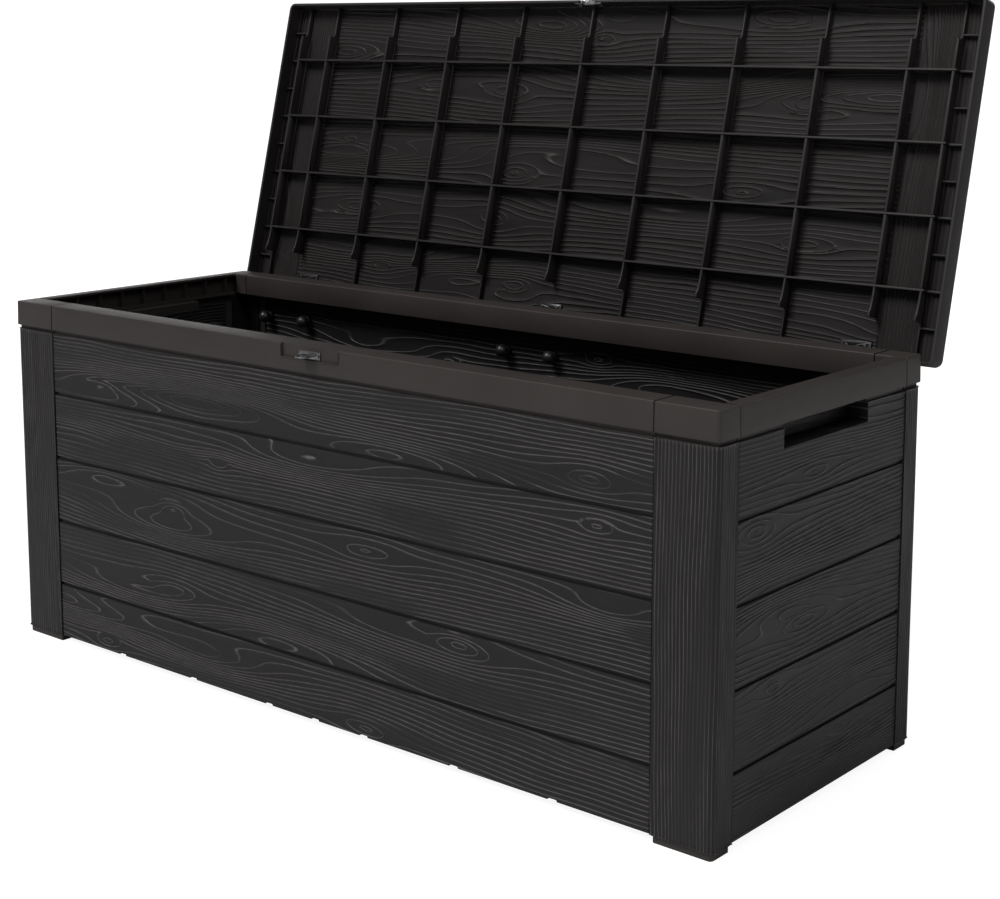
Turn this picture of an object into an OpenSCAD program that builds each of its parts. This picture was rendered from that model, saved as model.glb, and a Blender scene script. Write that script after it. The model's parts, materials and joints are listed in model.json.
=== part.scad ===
// Resin storage bench (deck box) with a ribbed lid, standing open on its hinge stops.
// Millimetres. Origin on the ground under the middle of the box, +Z up, front towards -Y.

/* [Body] */
// Length of the box over the rim
body_w = 1200; // [1000:10:1400]
// Depth of the box over the rim
body_d = 440; // [420:5:560]
// Height of the rim above the ground
rim_h = 490; // [440:5:600]
// Angle between the closed lid and the open lid
lid_open = 104; // [95:1:110]

/* [Rim] */
// Height of the smooth band round the rim
band_h = 34; // [30:1:44]
// Width of the front and rear rim, seen from above
rim_long_w = 38; // [34:1:44]
// Width of the side rims, seen from above
rim_side_w = 20; // [18:1:26]
// Height of the groove under the band
groove_h = 5; // [3:0.5:7]

/* [Walls] */
// Thickness of a wall panel
sheet = 5; // [4:0.5:6]
// Width of a front post on the front wall
post_w = 82; // [70:1:100]
// Width of a rear post on the rear wall
rear_post_w = 44; // [42:1:60]
// Height of the feet under the posts
foot_h = 10; // [8:1:16]
// Spacing of the plank seams
plank_pitch = 92.5; // [84:0.5:96]
// Width of a plank seam
seam_w = 3.5; // [2:0.5:5]

/* [Handles and catch] */
// Length of a hand slot
slot_w = 183; // [120:1:200]
// Height of a hand slot
slot_h = 27; // [22:1:32]
// Length of the sunken catch area in the front band
catch_w = 98; // [80:1:120]
// Bore of the padlock eyes
eye_bore = 6.4; // [5:0.1:8]

/* [Lid] */
// How far the lid stands out past the box at each end
lid_over_x = 8; // [6:1:14]
// How far the lid stands out past the box at front and rear
lid_over_y = 8; // [8:0.5:10]
// Height of the lid skirt
skirt_h = 28; // [26:1:34]
// Spacing of the ribs across the lid
rib_pitch = 128; // [110:1:128]
// Depth of a lid rib
rib_h = 18; // [14:1:20]

/* [Hinges] */
// Distance from the middle hinge to an outer hinge
hinge_pitch = 490; // [400:5:490]
// Length of one hinge
hinge_w = 110; // [100:1:116]
// Diameter of a hinge pin
pin_d = 6; // [5:0.5:7]
// Spacing of the two knobs of a hinge
knob_pitch = 85; // [70:1:88]

/* [Hidden] */
$fn = 64;
resin = [0.17, 0.165, 0.165];
resin_dark = [0.10, 0.10, 0.10];
steel = [0.72, 0.72, 0.74];

half_w = body_w / 2;
half_d = body_d / 2;
gap = 0.4; // between pieces that slot together
inset = 1.5; // the planks sit behind the band by this much
post_inset = 1; // and the posts by this much
band_wall = 4;
band_z = rim_h - band_h;
groove_z = band_z - groove_h;
groove_depth = 4.5;
neck = 3.5; // wall left behind the groove
seam_depth = 2.2;
seam_first = groove_z - 4 * plank_pitch + 7;
edge = 1.5; // chamfer on the long moulded edges
draft = 0.6; // how far the band leans in over its height
band_in = band_wall + 3.5; // inside face of the band
shelf_z = band_z + 3; // ledge inside the side rims
shelf_t = 3;
rim_rib_pitch = 41; // ribs in the side rims
post_seam = 1.5; // open joint between a post and a panel
post_side_w = rim_long_w;
post_wall = 5;
post_r = 9;
foot_inset = 3;

// Tongue on a panel edge and the slot for it in a post, measured in from the outside face.
tongue_in = inset + sheet - 0.2;
tongue_t = 3;
tongue_reach = 13;
tongue_root = 10;
hook_in = tongue_in + tongue_t + gap;
hook_t = 3;
tongue_z0 = foot_h + 4;
tongue_z1 = groove_z - 6;

// Floor
ledge_z = 16;
ledge_t = 4;
ledge_w = 12;
floor_t = 4;
floor_z = ledge_z + ledge_t + 0.3;
floor_foot_x = 416; // spacing of the feet under the floor
floor_foot_y = 130;
floor_foot_r = 26;
floor_cut = 6; // how far the cuts for the posts run on past them
floor_in = hook_in + hook_t - inset - sheet; // how deep those cuts are

// Lid, drawn closed and then turned open about the hinge line
deck_t = 4;
deck_z = rim_h + 8.5; // underside of the deck when closed
lid_top = deck_z + deck_t;
skirt_t = 4;
skirt_z = lid_top - skirt_h;
lid_half_w = half_w + lid_over_x;
lid_half_d = half_d + lid_over_y;
lid_r = 10;
rib_t = 3;
rib_low = deck_z - rib_h;
rib_clear = rim_h + 0.9; // ribs stay above the rim where they cross it
rib_end_y = half_d - rim_long_w - 6;
side_rib_x = half_w - rim_side_w - 5;
rib_flare = 4.5;
lap_z = deck_z - rib_h / 2;
row_pitch = 2 * lid_half_d / 5;
rib_count = 4; // ribs each side of the middle one

// Hinges
hinge_y = half_d + 8;
hinge_z = rim_h - 16;
knuckle_r = 6.5;
pin_clear = 0.05;
knuckle_gap = 1;
leaf_w = 44;
leaf_t = 3;
leaf_reach = 24;
leaf_screw_in = 14; // from the hinge line
bracket_t = 5;
bracket_z0 = rim_h - 104;
knob_z = rim_h - 66;
knob_r = 9.5;
knob_shaft_r = 4;
boss_r = 9;
boss_end = half_d - inset + 8;
screw_r = 2;
screw_head_r = 4;
screw_head_h = 2.4;

// Catch
catch_face = half_d - 3; // how far forward the sunken face stands
catch_h = 17;
eye_y = -(half_d + 13);
eye_w = 20;
eye_t = 2;
staple_z = rim_h - 12;
hasp_z = rim_h - 8;
hasp_notch_w = 28;
plate_t = 1.5;
eye_end = 6; // how far an eye reaches past the middle of its bore
small_screw_r = 1.5;
small_head_r = 3;
small_head_h = 1.5;

// ---- helpers ----

module box(x0, x1, y0, y1, z0, z1) {
    translate([x0, y0, z0]) cube([x1 - x0, y1 - y0, z1 - z0]);
}

module rect(x0, x1, y0, y1) {
    translate([x0, y0]) square([x1 - x0, y1 - y0]);
}

// A rectangle from the origin to (w, d) whose corner at the origin is rounded.
module corner_rect(w, d, r) {
    difference() {
        square([w, d]);
        square([r, r]);
    }
    intersection() {
        square([r, r]);
        translate([r, r]) circle(r);
    }
}

module round_rect(half_x, half_y, r) {
    rect(-half_x + r, half_x - r, -half_y, half_y);
    rect(-half_x, half_x, -half_y + r, half_y - r);
    for (sx = [-1, 1], sy = [-1, 1]) translate([sx * (half_x - r), sy * (half_y - r)]) circle(r);
}

// Turns the closed lid to where it rests when it is open.
module as_open() {
    translate([0, hinge_y, hinge_z]) rotate([-lid_open, 0, 0]) translate([0, -hinge_y, -hinge_z]) children();
}

module along_y(x, y, z) {
    translate([x, y, z]) rotate([-90, 0, 0]) children();
}

// ---- wall panels ----

// Sections of the walls: the first number runs inwards from the outside face, the second is the height.
module plank_section() {
    difference() {
        union() {
            rect(inset, inset + sheet, foot_h, groove_z);
            rect(groove_depth, groove_depth + neck, groove_z - 3, band_z + 4);
        }
        for (i = [0:3])
            translate([inset, seam_first + i * plank_pitch]) polygon([
                [-1, -seam_w / 2 - 0.5], [0, -seam_w / 2 - 0.5], [seam_depth, -seam_w / 2 + 0.5],
                [seam_depth, seam_w / 2 - 0.5], [0, seam_w / 2 + 0.5], [-1, seam_w / 2 + 0.5]
            ]);
    }
}

// The band of a long wall turns over and down again inside the box.
module long_wall_section() {
    lip_z = band_z + 3;
    inner = rim_long_w - band_wall;
    plank_section();
    polygon([
        [0, band_z], [draft, rim_h - edge], [draft + edge, rim_h], [rim_long_w - edge, rim_h],
        [rim_long_w, rim_h - edge], [rim_long_w, lip_z], [inner, lip_z], [inner, rim_h - band_wall],
        [band_wall + draft, rim_h - band_wall], [band_in, rim_h - band_wall - 4], [band_in, band_z]
    ]);
}

// The band of a short wall is a channel that is open towards the inside, with a ledge under it.
module short_wall_section() {
    plank_section();
    polygon([
        [0, band_z], [draft, rim_h - edge], [draft + edge, rim_h], [rim_side_w - edge, rim_h],
        [rim_side_w, rim_h - edge], [rim_side_w, rim_h - band_wall], [band_in, rim_h - band_wall],
        [band_in, shelf_z + shelf_t], [rim_side_w, shelf_z + shelf_t], [rim_side_w, shelf_z - 1],
        [rim_side_w - 2, shelf_z - 1], [rim_side_w - 2, shelf_z], [band_in, shelf_z], [band_in, band_z]
    ]);
}

module panel_tongues(half_len) {
    for (s = [-1, 1]) {
        near = half_len - tongue_root;
        far = half_len + tongue_reach;
        box(min(s * near, s * far), max(s * near, s * far), tongue_in, tongue_in + tongue_t, tongue_z0, tongue_z1);
    }
}

// A long wall with its outside face on y = 0, facing -Y.
module long_wall(corner_w) {
    half_len = half_w - corner_w - post_seam;
    translate([-half_len, 0, 0])
        rotate([90, 0, 90]) linear_extrude(2 * half_len) long_wall_section();
    panel_tongues(half_len);
    box(-half_len, half_len, inset + sheet - 1, inset + sheet + ledge_w, ledge_z, ledge_z + ledge_t);
}

// A short wall in the same position as long_wall, with its hand slot and the pocket behind it.
module short_wall() {
    half_len = half_d - post_side_w - post_seam;
    pocket_wall = 3;
    pocket_depth = 26;
    slot_top = groove_z + 4.5;
    difference() {
        union() {
            translate([-half_len, 0, 0])
                rotate([90, 0, 90]) linear_extrude(2 * half_len) short_wall_section();
            panel_tongues(half_len);
            box(-half_len, half_len, inset + sheet - 1, inset + sheet + ledge_w, ledge_z, ledge_z + ledge_t);
            box(-slot_w / 2 - pocket_wall, slot_w / 2 + pocket_wall, inset + 1, inset + sheet + pocket_depth,
                slot_top - slot_h - pocket_wall, slot_top + pocket_wall);
            for (i = [-4:4])
                box(i * rim_rib_pitch - 1.5, i * rim_rib_pitch + 1.5, band_wall, rim_side_w - 3,
                    shelf_z + 1, rim_h - band_wall + 1);
        }
        box(-slot_w / 2, slot_w / 2, -1, inset + sheet + pocket_depth - pocket_wall, slot_top - slot_h, slot_top);
    }
}

module front_panel() {
    notch_x = [-382, -233, -85, 0, 85, 233, 382];
    color(resin) difference() {
        union() {
            translate([0, -half_d, 0]) long_wall(post_w);
            box(-catch_w / 2 - 5, catch_w / 2 + 5, -catch_face, -catch_face + 5, rim_h - catch_h - 5, rim_h - 1);
        }
        box(-catch_w / 2, catch_w / 2, -half_d - 1, -catch_face, rim_h - catch_h, rim_h + 1);
        for (x = notch_x)
            box(x - 7, x + 7, -half_d - 1, -half_d + inset + sheet + 1, foot_h - 1, foot_h + 2.5);
        staple_screw_places() cylinder(r = small_screw_r + pin_clear, h = 4.5);
    }
}

module rear_panel() {
    color(resin) difference() {
        mirror([0, 1, 0]) translate([0, -half_d, 0]) long_wall(rear_post_w);
        for (h = [-1:1], s = [-1, 1])
            along_y(h * hinge_pitch + s * knob_pitch / 2, half_d - 20, knob_z)
                cylinder(r = knob_shaft_r + pin_clear, h = 30);
    }
}

module left_panel() {
    color(resin) rotate([0, 0, -90]) translate([0, -half_w, 0]) short_wall();
}

module right_panel() {
    color(resin) rotate([0, 0, 90]) translate([0, -half_w, 0]) short_wall();
}

// ---- corner posts ----

// Section of a post of width w on the long wall, with the corner of the box at the origin.
module post_section(w) {
    slot_x = w - tongue_reach - 4;
    slot_y = post_side_w - tongue_reach - 4;
    difference() {
        translate([post_inset, post_inset]) corner_rect(w - post_inset, post_side_w - post_inset, post_r);
        translate([post_inset + post_wall, post_inset + post_wall]) corner_rect(w, post_side_w, post_r - post_wall);
    }
    rect(slot_x, w, hook_in, hook_in + hook_t);
    rect(slot_x - hook_t, slot_x, post_inset + 1, hook_in + hook_t);
    rect(hook_in, hook_in + hook_t, slot_y, post_side_w);
    rect(post_inset + 1, hook_in + hook_t, slot_y - hook_t, slot_y);
}

module foot_section(w) {
    translate([foot_inset, foot_inset])
        corner_rect(w - 2 * foot_inset, post_side_w - 2 * foot_inset, post_r - 2);
}

// Section of the band round the corner, from the outside face to a depth of t.
module band_corner(w, t, r) {
    difference() {
        corner_rect(w, post_side_w, r);
        translate([t, t]) square([w, post_side_w]);
    }
}

module corner_post(w) {
    band_r = 6;
    translate([0, 0, foot_h]) linear_extrude(groove_z - foot_h) post_section(w);
    linear_extrude(foot_h + 4) foot_section(w);
    // neck in the groove
    translate([groove_depth, groove_depth, groove_z - 3]) linear_extrude(groove_h + 7) difference() {
        corner_rect(w - groove_depth, post_side_w - groove_depth, band_r - 1);
        translate([neck, neck]) square([w, post_side_w]);
    }
    // band and rim
    translate([0, 0, band_z]) linear_extrude(4) band_corner(w, band_in, band_r);
    translate([0, 0, band_z]) linear_extrude(band_h - edge) band_corner(w, band_wall, band_r);
    translate([0, 0, rim_h - band_wall]) linear_extrude(band_wall - edge) corner_rect(w, rim_long_w, band_r);
    translate([edge, edge, rim_h - band_wall]) linear_extrude(band_wall)
        corner_rect(w - edge, rim_long_w - edge, band_r - edge);
    box(rim_side_w, w, rim_long_w - band_wall, rim_long_w, band_z + 3, rim_h - edge);
}

module front_left_post() {
    color(resin) translate([-half_w, -half_d, 0]) corner_post(post_w);
}

module front_right_post() {
    mirror([1, 0, 0]) front_left_post();
}

module rear_left_post() {
    color(resin) mirror([0, 1, 0]) translate([-half_w, -half_d, 0]) corner_post(rear_post_w);
}

module rear_right_post() {
    mirror([1, 0, 0]) rear_left_post();
}

// ---- floor ----

module floor_panel() {
    fx = half_w - inset - sheet - gap;
    fy = half_d - inset - sheet - gap;
    color(resin_dark) difference() {
        box(-fx, fx, -fy, fy, floor_z, floor_z + floor_t);
        // the floor steps in along the posts' walls
        for (sx = [-1, 1], sy = [-1, 1]) translate([sx * fx, sy * fy, floor_z]) {
            along_long = (sy < 0 ? post_w : rear_post_w) + floor_cut;
            cube([2 * along_long, 2 * floor_in, 60], center = true);
            cube([2 * floor_in, 2 * (post_side_w + floor_cut), 60], center = true);
        }
    }
}

// Nine round feet that carry the floor between the ledges.
module floor_feet() {
    color(resin_dark) for (i = [-1:1], j = [-1:1])
        translate([i * floor_foot_x, j * floor_foot_y, 0]) cylinder(r = floor_foot_r, h = floor_z);
}

// ---- hinges ----

// Bracket on the outside of the rear wall: a plate with two bosses, two knuckles and a stop lug.
module hinge_bracket(x) {
    plate_y = half_d - inset + 0.2;
    knuckle_w = (hinge_w - leaf_w) / 2 - knuckle_gap;
    color(resin_dark) translate([x, 0, 0]) difference() {
        union() {
            box(-hinge_w / 2, hinge_w / 2, plate_y, plate_y + bracket_t, bracket_z0, groove_z - 2);
            for (s = [-1, 1]) {
                x0 = s > 0 ? hinge_w / 2 - knuckle_w : -hinge_w / 2;
                box(x0, x0 + knuckle_w, half_d + 0.6, half_d + 7, groove_z - 6, hinge_z);
                translate([x0, hinge_y, hinge_z]) rotate([0, 90, 0]) cylinder(r = knuckle_r, h = knuckle_w);
                along_y(s * knob_pitch / 2, plate_y, knob_z) cylinder(r = boss_r, h = boss_end - plate_y);
            }
            // lugs that the open lid's leaf leans on
            for (s = [-1, 1])
                translate([s * 16 - 4, hinge_y, hinge_z]) rotate([90, 0, 90]) linear_extrude(8)
                    polygon([[-7.2, -36], [-3, -36], [14, -14], [14, -6], [9, -4.7], [5.5, -8], [-7.2, -8]]);
        }
        translate([-hinge_w, hinge_y, hinge_z]) rotate([0, 90, 0])
            cylinder(r = pin_d / 2 + pin_clear, h = 2 * hinge_w);
        for (s = [-1, 1])
            along_y(s * knob_pitch / 2, plate_y - 1, knob_z)
                cylinder(r = knob_shaft_r + pin_clear, h = boss_end - plate_y - 1);
    }
}

module hinge_pin(x) {
    head_t = 2;
    color(steel) translate([x - hinge_w / 2 - head_t - 0.2, hinge_y, hinge_z]) rotate([0, 90, 0]) {
        cylinder(r = pin_d / 2, h = hinge_w + 2 * head_t + 0.4);
        cylinder(r = pin_d / 2 + 2, h = head_t);
        translate([0, 0, hinge_w + head_t + 0.4]) cylinder(r = pin_d / 2 + 2, h = head_t);
    }
}

// Two round knobs inside the box whose shafts run out through the rear wall into the bracket.
module hinge_knobs(x) {
    wall_in = half_d - inset - sheet;
    collar_h = 4;
    color(resin_dark) for (s = [-1, 1]) translate([x + s * knob_pitch / 2, 0, knob_z]) {
        along_y(0, wall_in - knob_r - collar_h, 0) sphere(r = knob_r);
        along_y(0, wall_in - knob_r - collar_h, 0) cylinder(r = 7, h = knob_r + collar_h - 0.3);
        along_y(0, wall_in - knob_r, 0) cylinder(r = knob_shaft_r, h = boss_end - wall_in + knob_r - 2.2);
    }
}

// Leaf on the lid: a knuckle, a strap up through the skirt and a flange under the deck.
module hinge_leaf(x) {
    strap_y = hinge_y - 3;
    color(resin_dark) as_open() translate([x, 0, 0]) difference() {
        union() {
            translate([-leaf_w / 2, hinge_y, hinge_z]) rotate([0, 90, 0]) cylinder(r = knuckle_r, h = leaf_w);
            box(-leaf_w / 2, leaf_w / 2, strap_y, strap_y + 5, hinge_z, deck_z);
            box(-leaf_w / 2, leaf_w / 2, hinge_y + 2 - leaf_reach, hinge_y + 2, deck_z - leaf_t, deck_z);
        }
        translate([-leaf_w, hinge_y, hinge_z]) rotate([0, 90, 0])
            cylinder(r = pin_d / 2 + pin_clear, h = 2 * leaf_w);
        leaf_screw_places() translate([0, 0, -10]) cylinder(r = screw_r + pin_clear, h = 20);
    }
}

module leaf_screw_places() {
    for (s = [-1, 1]) translate([s * 13, hinge_y - leaf_screw_in, deck_z]) children();
}

module leaf_screws(x) {
    color(steel) as_open() translate([x, 0, 0]) leaf_screw_places() {
        translate([0, 0, -leaf_t - 0.1]) cylinder(r = screw_r, h = leaf_t + 3);
        translate([0, 0, -leaf_t - 0.1 - screw_head_h]) cylinder(r = screw_head_r, h = screw_head_h);
    }
}

// ---- catch ----

// Both eyes are a tab with a round end, bored for the shackle.
module eye_tab(root_y, z) {
    difference() {
        union() {
            box(-eye_w / 2, eye_w / 2, eye_y, root_y, z, z + eye_t);
            intersection() {
                translate([0, eye_y + 3, z]) cylinder(r = eye_w / 2, h = eye_t);
                box(-eye_w, eye_w, eye_y - eye_end, eye_y, z, z + eye_t);
            }
        }
        translate([0, eye_y, z - 1]) cylinder(r = eye_bore / 2, h = eye_t + 2);
    }
}

module staple_screw_places() {
    for (s = [-1, 1]) along_y(s * 14, -catch_face, rim_h - 11) children();
}

module catch_staple() {
    plate_half_w = 18;
    plate_h = 10;
    plate_y = -catch_face - 0.1;
    color(steel) {
        difference() {
            box(-plate_half_w, plate_half_w, plate_y - plate_t, plate_y, rim_h - 16, rim_h - 16 + plate_h);
            staple_screw_places() translate([0, 0, -3]) cylinder(r = small_screw_r + pin_clear, h = 6);
        }
        eye_tab(plate_y - 0.5, staple_z);
    }
}

module catch_staple_screws() {
    color(steel) staple_screw_places() {
        translate([0, 0, -plate_t - 0.2]) cylinder(r = small_screw_r, h = 5.2);
        translate([0, 0, -plate_t - 0.2 - small_head_h]) cylinder(r = small_head_r, h = small_head_h);
    }
}

// ---- lid ----

module lid_panel() {
    web_x0 = side_rib_x + rib_t / 2 + 0.2;
    color(resin) as_open() difference() {
        union() {
            translate([0, 0, deck_z]) linear_extrude(deck_t) round_rect(lid_half_w, lid_half_d, lid_r);
            translate([0, 0, skirt_z]) linear_extrude(skirt_h - 1) difference() {
                round_rect(lid_half_w, lid_half_d, lid_r);
                round_rect(lid_half_w - skirt_t, lid_half_d - skirt_t, lid_r - skirt_t);
            }
            for (s = [-1, 1], j = [-2:2])
                box(s > 0 ? web_x0 : -lid_half_w + 1, s > 0 ? lid_half_w - 1 : -web_x0,
                    j * row_pitch - 1.2, j * row_pitch + 1.2, rib_clear, deck_z + 1);
        }
        // plank seams in the top
        for (j = [-2:1])
            box(-lid_half_w + 90, lid_half_w - 90, (j + 0.5) * row_pitch - 1.5, (j + 0.5) * row_pitch + 1.5,
                lid_top - 1.5, lid_top + 1);
        // gaps in the rear skirt for the hinges
        for (h = [-1:1])
            box(h * hinge_pitch - hinge_w / 2 - 4, h * hinge_pitch + hinge_w / 2 + 4,
                lid_half_d - skirt_t - 1, lid_half_d + 1, skirt_z - 1, deck_z);
        for (h = [-1:1]) translate([h * hinge_pitch, 0, 0])
            leaf_screw_places() translate([0, 0, -1]) cylinder(r = screw_r + pin_clear, h = 4.2);
        // gap in the front skirt for the padlock eyes
        box(-hasp_notch_w / 2, hasp_notch_w / 2, -lid_half_d - 1, -lid_half_d + skirt_t + 1, skirt_z - 1, rim_h + 5);
        hasp_screw_places() cylinder(r = small_screw_r + pin_clear, h = 3);
    }
}

// Outline of a cross rib, seen from the end of the closed lid.
module cross_rib_section(rear_y) {
    front_y = -lid_half_d + skirt_t;
    flare_y = rib_end_y - 36;
    polygon(concat(
        [[front_y, deck_z], [front_y, rib_clear], [-rib_end_y - 4, rib_clear], [-rib_end_y, rib_clear - 3],
         [-rib_end_y, rib_low], [flare_y, rib_low]],
        [for (a = [10:10:90]) [flare_y + 30 * sin(a), rib_low - rib_flare * (1 - cos(a))]],
        [[rib_end_y, rib_low - rib_flare], [rib_end_y, rib_clear], [rear_y, rib_clear], [rear_y, deck_z]]
    ));
}

module lid_cross_ribs() {
    near_hinge = hinge_w / 2 - 6;
    places = concat([-side_rib_x], [for (i = [-rib_count:rib_count]) i * rib_pitch], [side_rib_x]);
    color(resin) as_open() for (x = places) {
        on_leaf = abs(x) < near_hinge || abs(abs(x) - hinge_pitch) < leaf_w / 2 + 4;
        difference() {
            translate([x - rib_t / 2, 0, 0]) rotate([90, 0, 90]) linear_extrude(rib_t)
                cross_rib_section(on_leaf ? rib_end_y : lid_half_d - skirt_t);
            // room for the hasp plate
            box(-25, 25, -lid_half_d, -lid_half_d + skirt_t + plate_t + 0.5, skirt_z, rim_h + 6.5);
            for (j = [-1.5:1:1.5])
                box(x - rib_t, x + rib_t, j * row_pitch - rib_t / 2 - 0.2, j * row_pitch + rib_t / 2 + 0.2,
                    rib_low - 1, lap_z + 0.2);
        }
    }
}

module lid_long_ribs() {
    places = concat([-side_rib_x], [for (i = [-rib_count:rib_count]) i * rib_pitch], [side_rib_x]);
    end_x = lid_half_w - skirt_t;
    step_x = side_rib_x + 4;
    color(resin) as_open() for (j = [-1.5:1:1.5]) difference() {
        translate([0, j * row_pitch + rib_t / 2, 0]) rotate([90, 0, 0]) linear_extrude(rib_t)
            polygon([
                [-end_x, deck_z], [-end_x, rib_clear], [-step_x, rib_clear], [-step_x, rib_low],
                [step_x, rib_low], [step_x, rib_clear], [end_x, rib_clear], [end_x, deck_z]
            ]);
        for (x = places)
            box(x - rib_t / 2 - 0.2, x + rib_t / 2 + 0.2, j * row_pitch - rib_t, j * row_pitch + rib_t,
                lap_z - 0.2, deck_z + 1);
    }
}

// Steel plate inside the front skirt with an eye that comes down over the staple.
module lid_hasp() {
    plate_y = -lid_half_d + skirt_t + 0.1;
    window = eye_w / 2 + 0.8;
    plate_half_w = 23;
    color(steel) as_open() {
        difference() {
            union() {
                box(-plate_half_w, plate_half_w, plate_y, plate_y + plate_t, skirt_z + 1, rim_h + 6);
                for (s = [-1, 1])
                    box(s * (window + plate_t / 2) - plate_t / 2, s * (window + plate_t / 2) + plate_t / 2,
                        -lid_half_d, plate_y + 1, skirt_z + 1, rim_h + 3);
            }
            box(-window, window, -lid_half_d - 1, plate_y + 3, skirt_z, hasp_z);
            hasp_screw_places() translate([0, 0, -4]) cylinder(r = small_screw_r + pin_clear, h = 8);
        }
        eye_tab(plate_y + 0.5, hasp_z);
    }
}

module hasp_screw_places() {
    for (s = [-1, 1])
        translate([s * 18.5, -lid_half_d + skirt_t, rim_h - 5]) rotate([90, 0, 0]) children();
}

module lid_hasp_screws() {
    color(steel) as_open() hasp_screw_places() {
        translate([0, 0, -plate_t - 0.2]) cylinder(r = small_screw_r, h = 4.4);
        translate([0, 0, -plate_t - 0.2 - small_head_h]) cylinder(r = small_head_r, h = small_head_h);
    }
}

// ---- assembly ----

floor_panel();
floor_feet();
front_panel();
rear_panel();
left_panel();
right_panel();
front_left_post();
front_right_post();
rear_left_post();
rear_right_post();
hinge_bracket(-hinge_pitch);  // left_hinge_bracket
hinge_bracket(0);  // middle_hinge_bracket
hinge_bracket(hinge_pitch);  // right_hinge_bracket
hinge_pin(-hinge_pitch);  // left_hinge_pin
hinge_pin(0);  // middle_hinge_pin
hinge_pin(hinge_pitch);  // right_hinge_pin
hinge_knobs(-hinge_pitch);  // left_hinge_knobs
hinge_knobs(0);  // middle_hinge_knobs
hinge_knobs(hinge_pitch);  // right_hinge_knobs
catch_staple();
catch_staple_screws();
lid_panel();
lid_cross_ribs();
lid_long_ribs();
hinge_leaf(-hinge_pitch);  // left_hinge_leaf
hinge_leaf(0);  // middle_hinge_leaf
hinge_leaf(hinge_pitch);  // right_hinge_leaf
leaf_screws(-hinge_pitch);  // left_leaf_screws
leaf_screws(0);  // middle_leaf_screws
leaf_screws(hinge_pitch);  // right_leaf_screws
lid_hasp();
lid_hasp_screws();
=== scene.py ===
"""Looks of the resin storage bench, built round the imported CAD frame.

Shapes are worked out in millimetres and scaled to metres when a mesh is made.
"""
import json
import math

import bmesh
import bpy
import numpy as np
from mathutils import Matrix, Vector
from mathutils.geometry import tessellate_polygon


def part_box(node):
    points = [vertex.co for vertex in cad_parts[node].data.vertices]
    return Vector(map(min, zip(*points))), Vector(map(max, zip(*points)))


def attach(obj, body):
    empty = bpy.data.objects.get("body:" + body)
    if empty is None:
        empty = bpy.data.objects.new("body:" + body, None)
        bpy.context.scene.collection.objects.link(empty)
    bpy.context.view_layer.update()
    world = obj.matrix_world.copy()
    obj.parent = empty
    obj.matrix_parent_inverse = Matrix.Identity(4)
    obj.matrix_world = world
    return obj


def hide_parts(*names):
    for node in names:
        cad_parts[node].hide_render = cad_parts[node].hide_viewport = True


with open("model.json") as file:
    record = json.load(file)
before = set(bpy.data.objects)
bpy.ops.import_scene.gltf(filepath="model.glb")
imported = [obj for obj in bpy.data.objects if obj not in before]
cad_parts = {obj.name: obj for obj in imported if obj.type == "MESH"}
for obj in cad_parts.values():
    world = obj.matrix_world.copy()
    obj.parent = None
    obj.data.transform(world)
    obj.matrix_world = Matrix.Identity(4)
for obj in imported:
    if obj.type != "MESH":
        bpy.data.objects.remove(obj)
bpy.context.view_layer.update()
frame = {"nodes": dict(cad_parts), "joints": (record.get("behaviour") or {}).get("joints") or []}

# ---- sizes, from the frame ----

MM = 0.001


def box_mm(node):
    """The lowest and highest corner of a CAD node, in millimetres."""
    lo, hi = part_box(node)
    return np.array(lo) / MM, np.array(hi) / MM


front_post_lo, front_post_hi = box_mm("front_left_post")
rear_post_lo, rear_post_hi = box_mm("rear_left_post")
lid_hi = box_mm("lid_panel")[1]
lid_joint = frame["joints"][0]

HALF_W = -front_post_lo[0]
HALF_D = -front_post_lo[1]
RIM_Z = front_post_hi[2]
POST_W = front_post_hi[0] - front_post_lo[0]
REAR_POST_W = rear_post_hi[0] - rear_post_lo[0]
SIDE_W = front_post_hi[1] - front_post_lo[1]
HINGE_Y = lid_joint["pos_m"][1] / MM
HINGE_Z = lid_joint["pos_m"][2] / MM
LID_OPEN = math.radians(lid_joint["range_deg"][1])
HINGE_PITCH = (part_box("right_hinge_pin")[0][0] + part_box("right_hinge_pin")[1][0]) / 2 / MM

# box: heights and depths in from the outside face
BAND_H = 34
GROOVE_H = 5
BAND_Z = RIM_Z - BAND_H
GROOVE_Z = BAND_Z - GROOVE_H
GROOVE_DEPTH = 4.5
NECK = 3.5
BAND_WALL = 4
BAND_IN = 7.5
DRAFT = 0.6
RIM_SIDE_W = 20
FOOT_H = 10
INSET = 1.5
SHEET = 5
PLANK_PITCH = 92.5
PLANKS = 5
TOP_PLANK_SHORT = 7  # how much less than the pitch the top plank is high
SEAM_FIRST = GROOVE_Z - (PLANKS - 1) * PLANK_PITCH + TOP_PLANK_SHORT
PLANK_EDGE = 1.2  # height of the round edge at the bottom and the top of the planks
POST_SEAM = 1.5
SLOT_W = 183
SLOT_H = 27
SLOT_TOP = BAND_Z - 0.5
POCKET_DEPTH = 26
CATCH_W = 98
CATCH_H = 17
CATCH_DEPTH = 3
SHELF_Z = BAND_Z + 3
RIM_RIB_PITCH = 41
RIM_RIB_T = 2.8
NOTCHES = (0, 85, 233, 382)  # middles of the notches in the front wall's bottom edge, either way
NOTCH_HALF = 7
NOTCH_Z = FOOT_H + 2.5

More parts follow.
